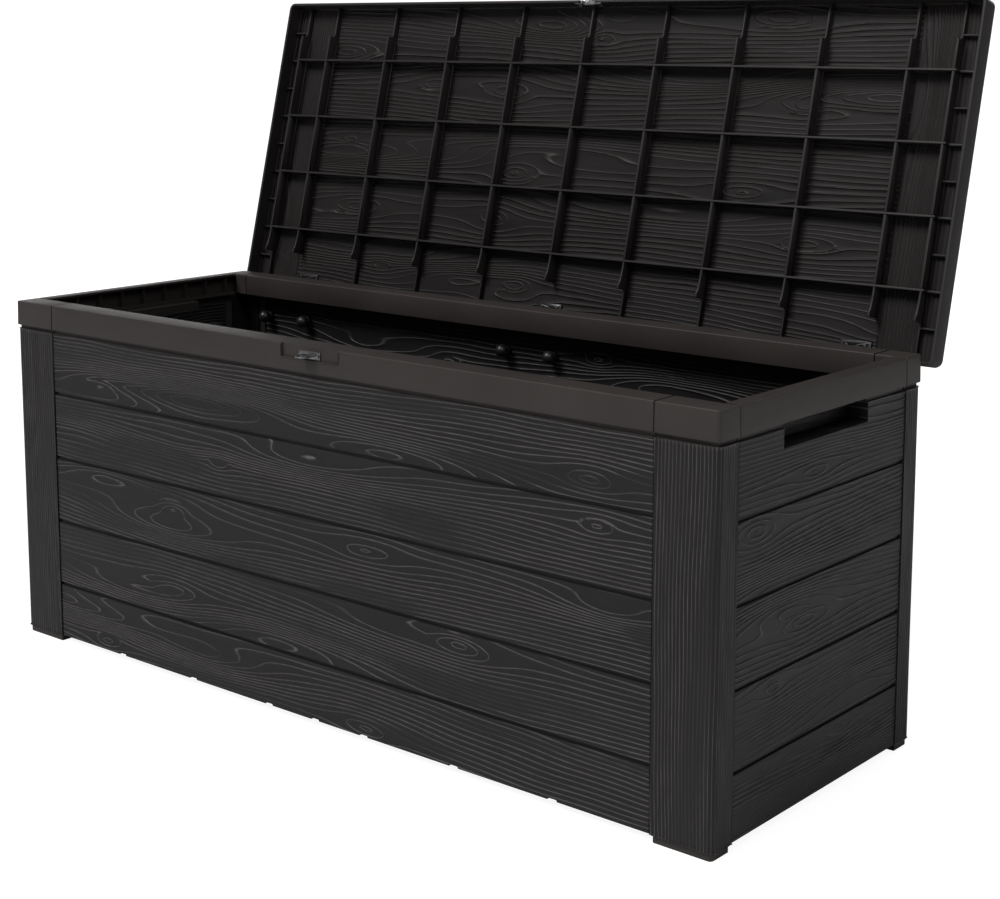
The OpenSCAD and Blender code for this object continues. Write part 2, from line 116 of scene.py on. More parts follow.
# lid, as it lies when it is shut
LID_HALF_W = lid_hi[0]
LID_HALF_D = HALF_D + 8
DECK_Z = RIM_Z + 8.5
DECK_T = 4
LID_TOP = DECK_Z + DECK_T
SKIRT_T = 4
SKIRT_Z = LID_TOP - 28
LID_R = 10
TOP_R = 2.5
LID_ROWS = 5
LID_ROW = 2 * LID_HALF_D / LID_ROWS
LID_END_W = 90
LID_END_X = LID_HALF_W - LID_END_W
LID_SEAMS = (LID_ROW / 2, 1.5 * LID_ROW)
LID_SEAM_HALF = 1.5
LID_SEAM_DEPTH = 1.5
HINGE_GAP = 59
HASP_GAP = 14

# grain
RELIEF = 0.9
LINE_SHARP = 4.5
# sharpness of the painted highlight along the posts' top edge
PAINTED_EDGE_HIGHLIGHT_SHARP = 0.4
# added to the places in the noise, so that no two pieces look the same
NOISE_APART = 10.0  # per unit of a wall's or post's seed
LID_NOISE = 3000.0  # for the lid's top, and twice as much for its underside
SMOOTH, GRAINED = 0, 1


# ---- grain ----

# how many sine waves, and how long they are along and across the grain
WANDER = (7, 170, 50)
RIPPLE = (7, 34, 12)
SWAY = (5, 60, 30)
STRENGTH = (8, 90, 10)


def waves(rng, count, long, short):
    """Smooth seeded noise over (along, across), about -1 to 1, as a sum of sine waves."""
    along = rng.normal(size=count) / long
    across = rng.normal(size=count) / short
    turn = rng.uniform(0, 2 * math.pi, count)

    def value(u, v):
        total = sum(np.sin(along[i] * u + across[i] * v + turn[i]) for i in range(count))
        return total / math.sqrt(count)

    return value


def grain(u, v, length, height, seed, spacing=5.2, eyes=2, arches=3, drift=4.0):
    """Growth lines at (u along, v across): their phase, how strong they are and how sharp.

    The lines are level curves of rise(). They run along, part round the eyes, close into rings inside
    them, and bend into long arches. Where they lie further apart they are sharper, so that they stay
    about equally wide.
    """
    rng = np.random.default_rng(seed)
    wander, ripple, sway, strength = (waves(rng, *kind) for kind in (WANDER, RIPPLE, SWAY, STRENGTH))
    arch_list = []
    for _ in range(arches):
        at = rng.uniform(-0.5, 0.5) * length, rng.uniform(-0.4, 0.4) * height
        half_size = rng.uniform(90, 240), rng.uniform(13, 22)
        lift = rng.uniform(0.7, 1.35) * rng.choice([-1, 1])
        arch_list.append((*at, *half_size, lift))
    eye_list = []
    for i in range(eyes):
        at = (i + rng.uniform(0.1, 0.9)) / eyes * length - length / 2, rng.uniform(-0.34, 0.34) * height
        radius, stretch = rng.uniform(7, 15), rng.uniform(2.6, 4.6)
        eye_list.append((*at, radius, stretch))

    def rise(u, v):
        across = v + drift * wander(u, v) + 0.7 * ripple(u, v)
        total = across.copy()
        for at_u, at_v, half_long, half_high, lift in arch_list:
            fall = np.abs((u - at_u) / half_long) ** 1.6 + ((v - at_v) / half_high) ** 2
            total += lift * half_high * np.exp(-fall)
        near = np.zeros_like(u)
        for at_u, at_v, r, stretch in eye_list:
            a = (u - at_u + 9 * sway(u, v)) / stretch
            b = across - at_v
            away = np.maximum(np.hypot(a, b), 0.01)
            total += np.maximum(r - away, 0) - b * np.minimum(r / away, 1)
            near = np.maximum(near, np.exp(-(away / (1.6 * r)) ** 2))
        return total / spacing, near

    phase, near = rise(u, v)
    step = 0.5
    slope = np.hypot(rise(u + step, v)[0] - phase, rise(u, v + step)[0] - phase) / step
    amount = np.clip(0.66 + 0.6 * strength(u, v) + 0.5 * near, 0.15, 1)
    sharp = np.clip(LINE_SHARP / np.maximum(slope * spacing, 0.05) ** 2, 2.0, 60)
    return phase, amount, sharp


def relief(phase, amount, sharp, steps):
    """Height of the embossed lines, faded where steps (in phase, between points) are too long for them."""
    crest = (0.5 + 0.5 * np.cos(2 * math.pi * phase)) ** (0.5 * sharp)
    fade = np.clip((0.52 - steps) / 0.12, 0, 1)
    return (crest - 0.4) * amount * fade * RELIEF


# ---- mesh building ----

class Shells:
    """Closed shells that together make one piece."""

    def __init__(self):
        self.points, self.faces, self.kinds = [], [], []
        self.grain = {"grain_phase": [], "grain_amount": [], "grain_sharp": []}
        self.place = []
        self.count = 0

    def add(self, points, faces, kinds=None, grain_of=None, place=None):
        """One closed shell, with each face's kind, and each point's grain and place in the noise."""
        points = np.asarray(points, float).reshape(-1, 3)
        n = len(points)
        self.faces += [[i + self.count for i in f] for f in faces]
        self.kinds += list(kinds) if kinds is not None else [SMOOTH] * len(faces)
        self.points.append(points)
        for values, part in zip(self.grain.values(), grain_of or [np.zeros(n)] * 3):
            values.append(np.ravel(part))
        self.place.append(points if place is None else np.asarray(place, float).reshape(-1, 3))
        self.count += n

    def block(self, lo, hi, bevel=0.4, kind=SMOOTH):
        """A box with small round edges."""
        bm = bmesh.new()
        size = Vector(hi) - Vector(lo)
        middle = (Vector(hi) + Vector(lo)) / 2
        bmesh.ops.create_cube(bm, size=1, matrix=Matrix.Translation(middle) @ Matrix.Diagonal((*size, 1)))
        bmesh.ops.bevel(bm, geom=bm.edges[:], offset=min(bevel, 0.35 * min(size)), segments=2, affect="EDGES")
        self.add([v.co for v in bm.verts], [[v.index for v in f.verts] for f in bm.faces],
                 [kind] * len(bm.faces))
        bm.free()

    def piece(self, name, body, slot, replaced, materials, matrix=None):
        """Makes the object, which rides on the body in place of the replaced CAD node."""
        points = np.concatenate(self.points)
        if matrix is not None:
            points = points @ matrix[:3, :3].T + matrix[:3, 3]
        mesh = bpy.data.meshes.new(name)
        mesh.from_pydata((points * MM).tolist(), [], self.faces)
        for material in materials:
            mesh.materials.append(material)
        mesh.polygons.foreach_set("material_index", np.array(self.kinds, np.int32))
        for key, values in self.grain.items():
            mesh.attributes.new(key, "FLOAT", "POINT").data.foreach_set(
                "value", np.concatenate(values).astype(np.float32))
        mesh.attributes.new("grain_place", "FLOAT_VECTOR", "POINT").data.foreach_set(
            "vector", (np.concatenate(self.place) * MM).astype(np.float32).ravel())
        mesh.polygons.foreach_set("use_smooth", np.ones(len(mesh.polygons), bool))
        mesh.set_sharp_from_angle(angle=math.radians(38))
        mesh.update()
        obj = bpy.data.objects.new(name, mesh)
        bpy.context.scene.collection.objects.link(obj)
        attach(obj, body)
        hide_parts(replaced)


def tube_faces(rings, around, flip=False):
    """Quads of a tube through rings of points that follow each other. Its ends stay open."""
    faces = []
    for i in range(rings - 1):
        for j in range(around):
            k = (j + 1) % around
            quad = [i * around + j, i * around + k, (i + 1) * around + k, (i + 1) * around + j]
            faces.append(quad[::-1] if flip else quad)
    return faces


def cap_faces(outline, first, flip):
    """Triangles that fill one closed outline of 2-D points."""
    triangles = tessellate_polygon([[Vector((a, b, 0)) for a, b in outline]])
    area = 0.5 * sum(a[0] * b[1] - b[0] * a[1] for a, b in zip(outline, np.roll(outline, -1, 0)))
    faces = []
    for t in triangles:
        p, q, r = (outline[i] for i in t)
        turn = (q[0] - p[0]) * (r[1] - p[1]) - (r[0] - p[0]) * (q[1] - p[1])
        same = (turn > 0) == (area > 0)
        face = [first + i for i in t]
        faces.append(face if same != flip else face[::-1])
    return faces


def turned(angle, x, y, z):
    """Points turned about the vertical axis, as an array of rows."""
    c, s = math.cos(angle), math.sin(angle)
    return np.stack([c * x - s * y, s * x + c * y, z], -1)


def spread(a, b, step):
    """Evenly spaced values from a to b, about a step apart, without b."""
    count = max(1, round(abs(b - a) / step))
    return list(np.linspace(a, b, count + 1)[:-1])


# ---- wall panels ----

class Outline:
    """Closed outline of a wall, as depth in from the outside face and height.

    face is the number of the plank that a point lies on, below 0 outside, or 0 off the planks. outside is
    how many of the points, from the first on, are on the outside.
    """

    def __init__(self):
        self.depth, self.height, self.face, self.kind = [], [], [], []
        self.outside = 0

    def add(self, depth, height, face=0, kind=SMOOTH):
        self.depth.append(depth)
        self.height.append(height)
        self.face.append(face)
        self.kind.append(kind)

    def arc(self, depth, height, r, start, end, steps=4):
        for i in range(steps + 1):
            a = math.radians(start + (end - start) * i / steps)
            self.add(depth + r * math.cos(a), height + r * math.sin(a))


# (distance from the seam's middle, depth) down one side of a seam
SEAM_SIDE = [(3.0, 0.0), (2.5, 0.25), (2.15, 1.0), (1.9, 3.2)]


def plank_faces(line, depth, inner, step, seam_share):
    """Planks of one side of a wall with their seams: upwards outside, downwards inside."""
    edges = [FOOT_H + PLANK_EDGE] + [SEAM_FIRST + i * PLANK_PITCH for i in range(PLANKS - 1)]
    edges += [GROOVE_Z - (4 if inner else PLANK_EDGE)]
    out = 1 if inner else -1
    order = range(PLANKS - 1, -1, -1) if inner else range(PLANKS)
    for p in order:
        lower = edges[p] + (SEAM_SIDE[0][0] if p > 0 else 0)
        upper = edges[p + 1] - (SEAM_SIDE[0][0] if p < PLANKS - 1 else 0)
        run = spread(upper, lower, step) if inner else spread(lower, upper, step)
        for h in run[1:]:
            line.add(depth, h, out * (p + 1), GRAINED)
        next_seam = p - 1 if inner else p
        if 0 <= next_seam < PLANKS - 1:
            middle = edges[next_seam + 1]
            for off, sunk in SEAM_SIDE:
                line.add(depth - out * sunk * seam_share, middle + out * off, 0, GRAINED)
            for off, sunk in SEAM_SIDE[::-1]:
                line.add(depth - out * sunk * seam_share, middle - out * off, 0, GRAINED)


def wall_outline(long, outer_step, inner_step):
    """Outline of a long wall, whose rim is a deep lip, or of a side wall, whose rim is a channel."""
    line = Outline()
    line.add(INSET + 0.6, FOOT_H, 0, GRAINED)
    line.add(INSET + 0.15, FOOT_H + 0.3, 0, GRAINED)
    line.add(INSET, FOOT_H + 1.0, 0, GRAINED)
    plank_faces(line, INSET, False, outer_step, 1.0)
    # edge of the top plank, groove and band
    line.add(INSET, GROOVE_Z - PLANK_EDGE, 0, GRAINED)
    line.add(INSET + 0.25, GROOVE_Z - 0.5, 0, GRAINED)
    line.add(INSET + 0.9, GROOVE_Z, 0)
    line.add(GROOVE_DEPTH, GROOVE_Z)
    line.add(GROOVE_DEPTH, SLOT_TOP)
    line.add(GROOVE_DEPTH, BAND_Z)
    line.add(0.8, BAND_Z)
    line.add(0.2, BAND_Z + 0.25)
    line.add(0, BAND_Z + 0.9)
    for h in (RIM_Z - CATCH_H - 0.5, RIM_Z - CATCH_H, RIM_Z - 9):
        line.add(DRAFT * (h - BAND_Z) / BAND_H, h)
    line.arc(DRAFT + 1.6, RIM_Z - 1.6, 1.6, 180, 90)
    line.outside = len(line.depth)
    if long:
        lip_z = BAND_Z + 3
        line.arc(SIDE_W - 1.6, RIM_Z - 1.6, 1.6, 90, 0)
        line.arc(SIDE_W - 0.8, lip_z + 0.8, 0.8, 0, -90, 2)
        line.arc(SIDE_W - BAND_WALL + 0.8, lip_z + 0.8, 0.8, -90, -180, 2)
        line.add(SIDE_W - BAND_WALL, RIM_Z - BAND_WALL)
    else:
        line.arc(RIM_SIDE_W - 1.2, RIM_Z - 1.2, 1.2, 90, 0)
        line.arc(RIM_SIDE_W - 0.8, RIM_Z - BAND_WALL + 0.8, 0.8, 0, -90, 2)
    line.add(BAND_WALL + 4, RIM_Z - BAND_WALL)
    line.add(BAND_IN, RIM_Z - BAND_WALL - 3)
    if not long:
        line.add(BAND_IN, SHELF_Z + 3)
        line.arc(RIM_SIDE_W - 0.8, SHELF_Z + 2.2, 0.8, 90, 0, 2)
        line.add(RIM_SIDE_W, SHELF_Z - 1.4)
        line.add(RIM_SIDE_W - 2, SHELF_Z - 1.4)
        line.add(RIM_SIDE_W - 2, SHELF_Z)
        line.add(BAND_IN, SHELF_Z)
    line.add(BAND_IN, BAND_Z)
    line.add(GROOVE_DEPTH + NECK, BAND_Z)
    line.add(GROOVE_DEPTH + NECK, GROOVE_Z - 2.5)
    line.add(INSET + SHEET, GROOVE_Z - 3.5)
    plank_faces(line, INSET + SHEET, True, inner_step, 0.3)
    line.add(INSET + SHEET, FOOT_H + 0.8, 0, GRAINED)
    line.add(INSET + SHEET - 0.8, FOOT_H, 0, GRAINED)
    return line


def wall_stations(half_len, step, pairs):
    """Places along a wall: even steps, fine steps at the ends, and a close pair at each feature's edge.

    A pair at 0 is one place, in the middle.
    """
    fixed = [-half_len, -half_len + 0.4, -half_len + 1.2]
    for x in pairs:
        fixed += [-x - 0.25, -x + 0.25] if x else [0]
    fixed = sorted(set(fixed + [-x for x in fixed]))
    places = [fixed[0]]
    for x in fixed[1:]:
        if x - places[-1] > 1.5 * step:
            places += spread(places[-1], x, step)[1:]
        places.append(x)
    return np.array(places)


def wall(reach, angle, half_len, seed, long, steps, pairs=(0,), shape=None):
    """One wall panel with embossed planks on both sides, a band and a rim.

    steps are the mesh's steps along the wall, up its outside and down its inside.
    """
    step, outer_step, inner_step = steps
    line = wall_outline(long, outer_step, inner_step)
    places = wall_stations(half_len, step, pairs)
    n = len(line.depth)
    along = np.repeat(places[:, None], n, axis=1)
    depth, height = (np.tile(row, (len(places), 1)) for row in (line.depth, line.height))
    face = np.array(line.face)
    phase, amount, sharp = (np.zeros_like(along) for _ in range(3))
    for f in sorted(set(face) - {0}):
        cols = np.where(face == f)[0]
        cols = np.arange(cols.min() - 2, cols.max() + 3)
        middle = (height[0, cols].min() + height[0, cols].max()) / 2
        u, v = along[:, cols], height[:, cols] - middle
        lines = grain(u, v, 2 * half_len, PLANK_PITCH, seed + f * 7 + 50, eyes=2 if long else 1,
                      arches=3 if long else 1)
        phase[:, cols], amount[:, cols], sharp[:, cols] = lines
        raised = relief(*lines, np.abs(np.gradient(lines[0], axis=1)))
        raised *= face[cols] == f
        depth[:, cols] += np.sign(f) * raised
    outside = np.arange(n) < line.outside
    if shape:
        shape(along, depth, height, outside)
    # small round edges at the two ends
    for i, sunk in ((0, 0.7), (1, 0.15), (-1, 0.7), (-2, 0.15)):
        depth[i, outside] += sunk
    points = turned(angle, along, depth - reach, height)
    faces = tube_faces(len(places), n, True)
    kinds = line.kind * (len(places) - 1)
    for i in (0, len(places) - 1):
        ends = cap_faces(np.stack([depth[i], height[i]], -1), i * n, i > 0)
        faces += ends
        kinds += [SMOOTH] * len(ends)
    amount[:, np.array(line.kind) == SMOOTH] = 0
    shells = Shells()
    place = np.stack([along, height, np.full_like(along, NOISE_APART * seed)], -1)
    shells.add(points, faces, kinds, (phase, amount, sharp), place)
    return shells


def ledge_and_tongues(shells, reach, angle, half_len):
    """The ledge that the floor lies on, and the tongues that slide into the posts.

    It returns the function that adds a block turned with the wall.
    """
    c, s = round(math.cos(angle)), round(math.sin(angle))

    def put(x0, x1, y0, y1, z0, z1):
        a = (c * x0 - s * y0, s * x0 + c * y0)
        b = (c * x1 - s * y1, s * x1 + c * y1)
        shells.block((min(a[0], b[0]), min(a[1], b[1]), z0), (max(a[0], b[0]), max(a[1], b[1]), z1))

    put(-half_len, half_len, INSET + SHEET - 1 - reach, INSET + SHEET + 12 - reach, 16, 20)
    for side in (-1, 1):
        ends = side * (half_len - 10), side * (half_len + 13)
        put(*ends, 6.3 - reach, 9.3 - reach, FOOT_H + 4, GROOVE_Z - 6)
    return put


def front_shape(along, depth, height, outside):
    """Sinks the catch area into the band and cuts small notches in the bottom edge."""
    sunk = outside & (np.abs(along) < CATCH_W / 2) & (height >= RIM_Z - CATCH_H)
    depth[sunk] = np.maximum(depth[sunk], CATCH_DEPTH)
    for x in NOTCHES:
        notch = (np.abs(np.abs(along) - x) < NOTCH_HALF) & (height < NOTCH_Z)
        height[notch] = NOTCH_Z


def side_shape(along, depth, height, outside):
    """Pushes the hand slot in, and the pocket behind it."""
    slot = outside & (np.abs(along) < SLOT_W / 2)
    slot &= (height >= SLOT_TOP - SLOT_H) & (height <= SLOT_TOP + 0.01)
    pocket = (~outside) & (np.abs(along) < SLOT_W / 2 + 3) & (height >= SLOT_TOP - SLOT_H - 3)
    pocket &= (height <= BAND_Z + 0.01) & (depth < GROOVE_DEPTH + NECK + 1)
    depth[slot] = INSET + SHEET + POCKET_DEPTH - 3
    depth[pocket] = INSET + SHEET + POCKET_DEPTH


def catch_frame(shells):
    """Thin raised edges at both ends of the catch area and under it."""
    half, low = CATCH_W / 2, RIM_Z - CATCH_H
    out, proud = -HALF_D, 0.5
    for s in (-1, 1):
        x = s * (half + 1.2)
        shells.block((x - 1.2, out - proud, low), (x + 1.2, out + 2, RIM_Z - 2), 0.5)
    shells.block((-half, out - proud, low - 1.8), (half, out + CATCH_DEPTH + 0.5, low + 0.1), 0.5)


def build_walls(resin):
    half_front = HALF_W - POST_W - POST_SEAM
    half_rear = HALF_W - REAR_POST_W - POST_SEAM
    half_side = HALF_D - SIDE_W - POST_SEAM
    notch_pairs = [x + s for x in NOTCHES for s in (-NOTCH_HALF, NOTCH_HALF)]
    front = wall(HALF_D, 0, half_front, 11, True, (8.5, 1.8, 2.9), [CATCH_W / 2] + notch_pairs, front_shape)
    ledge_and_tongues(front, HALF_D, 0, half_front)
    catch_frame(front)
    front.piece("front_planks", "box", "resin", "front_panel", resin)
    rear = wall(HALF_D, math.pi, half_rear, 220, True, (9, 2.0, 2.0))
    ledge_and_tongues(rear, HALF_D, math.pi, half_rear)
    rear.piece("rear_planks", "box", "resin", "rear_panel", resin)
    slot_pairs = [SLOT_W / 2, SLOT_W / 2 + 3]
    for side, name, seed in ((1, "right", 407), (-1, "left", 633)):
        angle = side * math.pi / 2
        shells = wall(HALF_W, angle, half_side, seed, False, (4.5, 1.7, 2.4), slot_pairs, side_shape)
        put = ledge_and_tongues(shells, HALF_W, angle, half_side)
        for i in range(-4, 5):
            x = i * RIM_RIB_PITCH
            put(x - RIM_RIB_T / 2, x + RIM_RIB_T / 2, BAND_IN - 1 - HALF_W, RIM_SIDE_W - 2.5 - HALF_W,
                SHELF_Z + 2, RIM_Z - BAND_WALL + 1)
        shells.piece(name + "_planks", "box", "resin", name + "_panel", resin)


# ---- corner posts ----

HOOK_IN = 9.7
HOOK_T = 3
TONGUE_SLOT = 17
POST_INSET = 1
POST_WALL = 5
POST_R = 9
POST_STEP = 1.45  # between the points round a post
BAND_R = 6


def post_outline(w):
    """Closed outline of a post: the outside run of points first, then the inside with its tongue slots."""
    inner = POST_INSET + POST_WALL
    centre = POST_INSET + POST_R
    arc = [math.radians(a) for a in np.linspace(270, 180, 9)]
    outside = [(x, POST_INSET) for x in spread(w, centre, POST_STEP)]
    outside += [(centre + POST_R * math.cos(a), centre + POST_R * math.sin(a)) for a in arc]
    outside += [(POST_INSET, y) for y in spread(centre, SIDE_W, POST_STEP)[1:]] + [(POST_INSET, SIDE_W)]
    slot_x, slot_y = w - TONGUE_SLOT, SIDE_W - TONGUE_SLOT
    hook_out = HOOK_IN + HOOK_T
    inside = [(inner, SIDE_W), (inner, slot_y), (HOOK_IN, slot_y), (HOOK_IN, SIDE_W), (hook_out, SIDE_W),
              (hook_out, slot_y - HOOK_T), (inner, slot_y - HOOK_T), (inner, inner),
              (slot_x - HOOK_T, inner), (slot_x - HOOK_T, hook_out), (w, hook_out), (w, HOOK_IN),
              (slot_x, HOOK_IN), (slot_x, inner), (w, inner)]
    return np.array(outside), np.array(inside, float)


def corner_outline(w, d, r, offset):
    """Rectangle from the box's corner to (w, d), with its outside corner rounded, moved in all round."""
    r = max(r - offset, 0.5)
    centre = offset + r
    arc = [math.radians(a) for a in np.linspace(270, 180, 7)]
    points = [(w - offset, offset)] + [(centre + r * math.cos(a), centre + r * math.sin(a)) for a in arc]
    return np.array(points + [(offset, d - offset), (w - offset, d - offset)])


def band_outline(w, offset, thick):
    """L-shaped outline of the band round a corner."""
    outer = corner_outline(w, SIDE_W, BAND_R, offset)[:-1]
    outer[0, 0] = w
    outer[-1, 1] = SIDE_W
    return np.vstack([outer, [(thick, SIDE_W), (thick, thick), (w, thick)]])


def stack(shells, outlines, levels, put, flip, kind=SMOOTH, grain_of=None, place=None):
    """A closed solid through outlines at rising levels. put moves local (a, b, z) into place."""
    n = len(outlines[0])
    points = np.concatenate([np.column_stack([o, np.full(n, z)]) for o, z in zip(outlines, levels)])
    area = sum(a[0] * b[1] - b[0] * a[1] for a, b in zip(outlines[0], np.roll(outlines[0], -1, 0)))
    inward = (area < 0) != flip
    faces = tube_faces(len(levels), n, inward)
    bottom = cap_faces(outlines[0], 0, not inward)
    top = cap_faces(outlines[-1], n * (len(levels) - 1), inward)
    kinds = [kind] * len(faces) + [SMOOTH] * (len(bottom) + len(top))
    shells.add(put(points), faces + bottom + top, kinds, grain_of, place)


def build_post(name, sx, sy, w, seed, resin):
    """One corner post: foot, grained shaft, groove and the band and rim above it.

    sx and sy are the signs of the corner's x and y.
    """
    flip = sx * sy < 0

    def put(p):
        return np.column_stack([sx * (HALF_W - p[:, 0]), sy * (HALF_D - p[:, 1]), p[:, 2]])

    shells = Shells()
    outside, inside = post_outline(w)
    run = np.concatenate([[0], np.cumsum(np.linalg.norm(np.diff(outside, axis=0), axis=1))])
    towards = np.gradient(outside, axis=0)
    normal = np.column_stack([-towards[:, 1], towards[:, 0]])
    normal /= np.linalg.norm(normal, axis=1)[:, None]
    levels = [FOOT_H, FOOT_H + 0.6] + spread(FOOT_H + 1.6, GROOVE_Z - 1.4, 4.0)
    levels += [GROOVE_Z - 1.4, GROOVE_Z - 0.5, GROOVE_Z]
    sunk = np.zeros(len(levels))
    sunk[[0, 1, -2, -1]] = [1.2, 0.3, 0.25, 1.1]
    z, s = np.meshgrid(np.array(levels), run, indexing="ij")
    lines = grain(z, s, GROOVE_Z, run[-1], seed, spacing=4.7, eyes=0, arches=1, drift=2.6)
    raised = relief(*lines, np.abs(np.gradient(lines[0], axis=1)))
    # painted highlight: the ridges' pale colour is painted on at the top edge, where the chamfer would catch
    # light but lies in the band's shade
    lines[1][-3:] = 1
    lines[2][-3:] = PAINTED_EDGE_HIGHLIGHT_SHARP
    edge_fade = np.clip(np.minimum(run, run[-1] - run) / 1.5, 0, 1)
    raised = raised * edge_fade[None, :]
    outlines = []
    for i in range(len(levels)):
        inwards = sunk[i] + 0.6 * (1 - edge_fade) - raised[i]
        outlines.append(np.vstack([outside + normal * inwards[:, None], inside]))
    blank = np.zeros((len(levels), len(inside)))
    place = np.zeros((len(levels), len(outside) + len(inside), 3))
    place[:, :len(outside), 0] = z
    place[:, :len(outside), 1] = s
    place[:, :, 2] = NOISE_APART * seed
    stack(shells, outlines, levels, put, flip, GRAINED,
          grain_of=[np.hstack([part, blank]) for part in lines], place=place)
    # foot, band and plate are lists of (offset in from the outside, height)
    foot = [(4.2, 0), (3.2, 0.8), (3.0, 2.0), (3.0, FOOT_H + 3)]
    stack(shells, [corner_outline(w, SIDE_W, POST_R, o) for o, _ in foot], [h for _, h in foot], put, flip)
    neck = [band_outline(w, GROOVE_DEPTH, GROOVE_DEPTH + NECK)] * 2
    stack(shells, neck, [GROOVE_Z - 2.5, BAND_Z + 2.5], put, flip)
    band = [(0.8, 0), (0.2, 0.25), (0, 0.9), (DRAFT, BAND_H - BAND_WALL + 0.2)]
    stack(shells, [band_outline(w, o, BAND_WALL + 1) for o, _ in band],
          [BAND_Z + h for _, h in band], put, flip)
    plate = [(0.55, -BAND_WALL), (DRAFT, -1.6), (DRAFT + 0.2, -0.8), (DRAFT + 0.75, -0.22), (DRAFT + 1.6, 0)]
    stack(shells, [corner_outline(w + 0.6, SIDE_W + 0.6, BAND_R, o) for o, _ in plate],
          [RIM_Z + h for _, h in plate], put, flip)
    a = (sx * (HALF_W - RIM_SIDE_W), sy * (HALF_D - SIDE_W + BAND_WALL), BAND_Z + 3)
    b = (sx * (HALF_W - w), sy * (HALF_D - SIDE_W), RIM_Z - 1.5)
    shells.block(np.minimum(a, b), np.maximum(a, b), 0.8)
    shells.piece(name + "_grained", "box", "resin", name, resin)


def build_posts(resin):
    seed = 71
    for row, sy, w in (("front", -1, POST_W), ("rear", 1, REAR_POST_W)):
        for side, sx in (("left", -1), ("right", 1)):
            build_post(f"{row}_{side}_post", sx, sy, w, seed, resin)
            seed += 1


# ---- lid ----

def lid_places(half, zones, seams):
    """Grid lines across the lid: each zone has its own step, with close pairs at the seams."""
    places = []
    for a, b, step in zones:
        places += spread(a, b, step)
    places.append(zones[-1][1])
    places = [p for p in places if all(abs(abs(p) - s) > 2.6 for s in seams)]
    for s in seams:
        for off in (-1.9, -1.2, 1.2, 1.9):
            places += [s + off, -s - off]
    places = sorted(set(places))
    keep = [p for p in places if half - abs(p) > LID_R + 1.5]
    corner = [half - LID_R * f for f in (1, 0.8, 0.6, 0.4, 0.2, 0)]
    return np.array(sorted([-c for c in corner] + keep + corner))


def round_off(values, half, offset):
    """Grid lines moved in to a smaller rounded rectangle, with the middle ones left where they are."""
    flat = half - LID_R
    beyond = np.clip(np.abs(values) - flat, 0, None) * (LID_R - offset) / LID_R
    return np.sign(values) * (np.minimum(np.abs(values), flat) + beyond)


def rounded(x, y, offset):
    """(x, y) on the rounded rectangle that lies offset inside the lid's own."""
    x, y = round_off(x, LID_HALF_W, offset), round_off(y, LID_HALF_D, offset)
    dx = np.clip(np.abs(x) - LID_HALF_W + LID_R, 0, None)
    dy = np.clip(np.abs(y) - LID_HALF_D + LID_R, 0, None)
    shrink = np.where((dx > 0) & (dy > 0), np.maximum(dx, dy) / np.maximum(np.hypot(dx, dy), 1e-9), 1)
    x = np.sign(x) * (np.abs(x) - dx + dx * shrink)
    y = np.sign(y) * (np.abs(y) - dy + dy * shrink)
    return x, y


def lid_grain(x, y, seed):
    """Planks along the lid between two end boards."""
    lines = [np.zeros_like(x) for _ in range(3)]
    rows = np.clip(np.floor(y / LID_ROW + LID_ROWS / 2), 0, LID_ROWS - 1)
    ends = np.abs(x) > LID_END_X
    boards = []
    for j in range(LID_ROWS):
        across = y - (j - LID_ROWS // 2) * LID_ROW
        board = grain(x, across, 2 * LID_HALF_W, LID_ROW, seed + j, eyes=3)
        boards.append(((rows == j) & ~ends, board))
    for s in (-1, 1):
        across = x - s * (LID_HALF_W - LID_END_W / 2)
        board = grain(y, across, 2 * LID_HALF_D, LID_END_W, seed + 20 + s, eyes=0, arches=1, drift=2.5)
        boards.append((ends & (np.sign(x) == s), board))
    for here, board in boards:
        for part, values in zip(lines, board):
            part[here] = values[here]
    return lines


def lid_levels():
    """(offset, height) pairs from the top face's edge, down the skirt and up to the underside."""
    arc = [math.radians(a) for a in (0, 30, 60, 90)]
    outer = [(TOP_R - TOP_R * math.sin(a), LID_TOP - TOP_R + TOP_R * math.cos(a)) for a in arc]
    outer += [(0, DECK_Z - 2), (0, RIM_Z + 4.6), (0, SKIRT_Z + 0.9), (0.25, SKIRT_Z + 0.25), (0.9, SKIRT_Z)]
    inner = [(SKIRT_T - 0.7, SKIRT_Z), (SKIRT_T, SKIRT_Z + 0.7), (SKIRT_T, RIM_Z + 4.6)]
    inner += [(SKIRT_T, DECK_Z - 1.2), (SKIRT_T + 0.4, DECK_Z - 0.4), (SKIRT_T + 1.2, DECK_Z)]
    return outer + inner


def lid_face(x, y, level, up, seed):
    """The lid's top (up is 1) or underside (-1), as grids of x, y, z, phase, amount and sharpness."""
    offset, z = level
    x, y = rounded(x, y, offset)
    lines = lid_grain(x, y, seed)
    edge = np.minimum(LID_HALF_W - offset - np.abs(x), LID_HALF_D - offset - np.abs(y))
    lines[1] *= np.clip(edge / 3, 0, 1)
    steps = np.hypot(np.gradient(lines[0], axis=0), np.gradient(lines[0], axis=1))
    raised = z + up * relief(*lines, steps)
    if up > 0:
        near = np.min([np.abs(np.abs(y) - s) for s in LID_SEAMS], axis=0)
        seam = (near < LID_SEAM_HALF) & (np.abs(x) < LID_END_X)
        seam |= np.abs(np.abs(x) - LID_END_X) < LID_SEAM_HALF
        raised = np.where(seam, z - LID_SEAM_DEPTH, raised)
    return x, y, raised, *lines


def skirt_ring(x, y, level):
    """Points round the lid, raised where the hinges and the hasp need a gap."""
    offset, z = level
    x, y = rounded(x, y, offset)
    height = np.full(len(x), float(z))
    at_hinge = np.min([np.abs(x - h * HINGE_PITCH) for h in (-1, 0, 1)], axis=0) < HINGE_GAP
    height[at_hinge & (y > LID_HALF_D - 6)] = max(z, DECK_Z - 1)
    height[(np.abs(x) < HASP_GAP) & (y < -LID_HALF_D + 6)] = max(z, RIM_Z + 5)
    return np.column_stack([x, y, height])


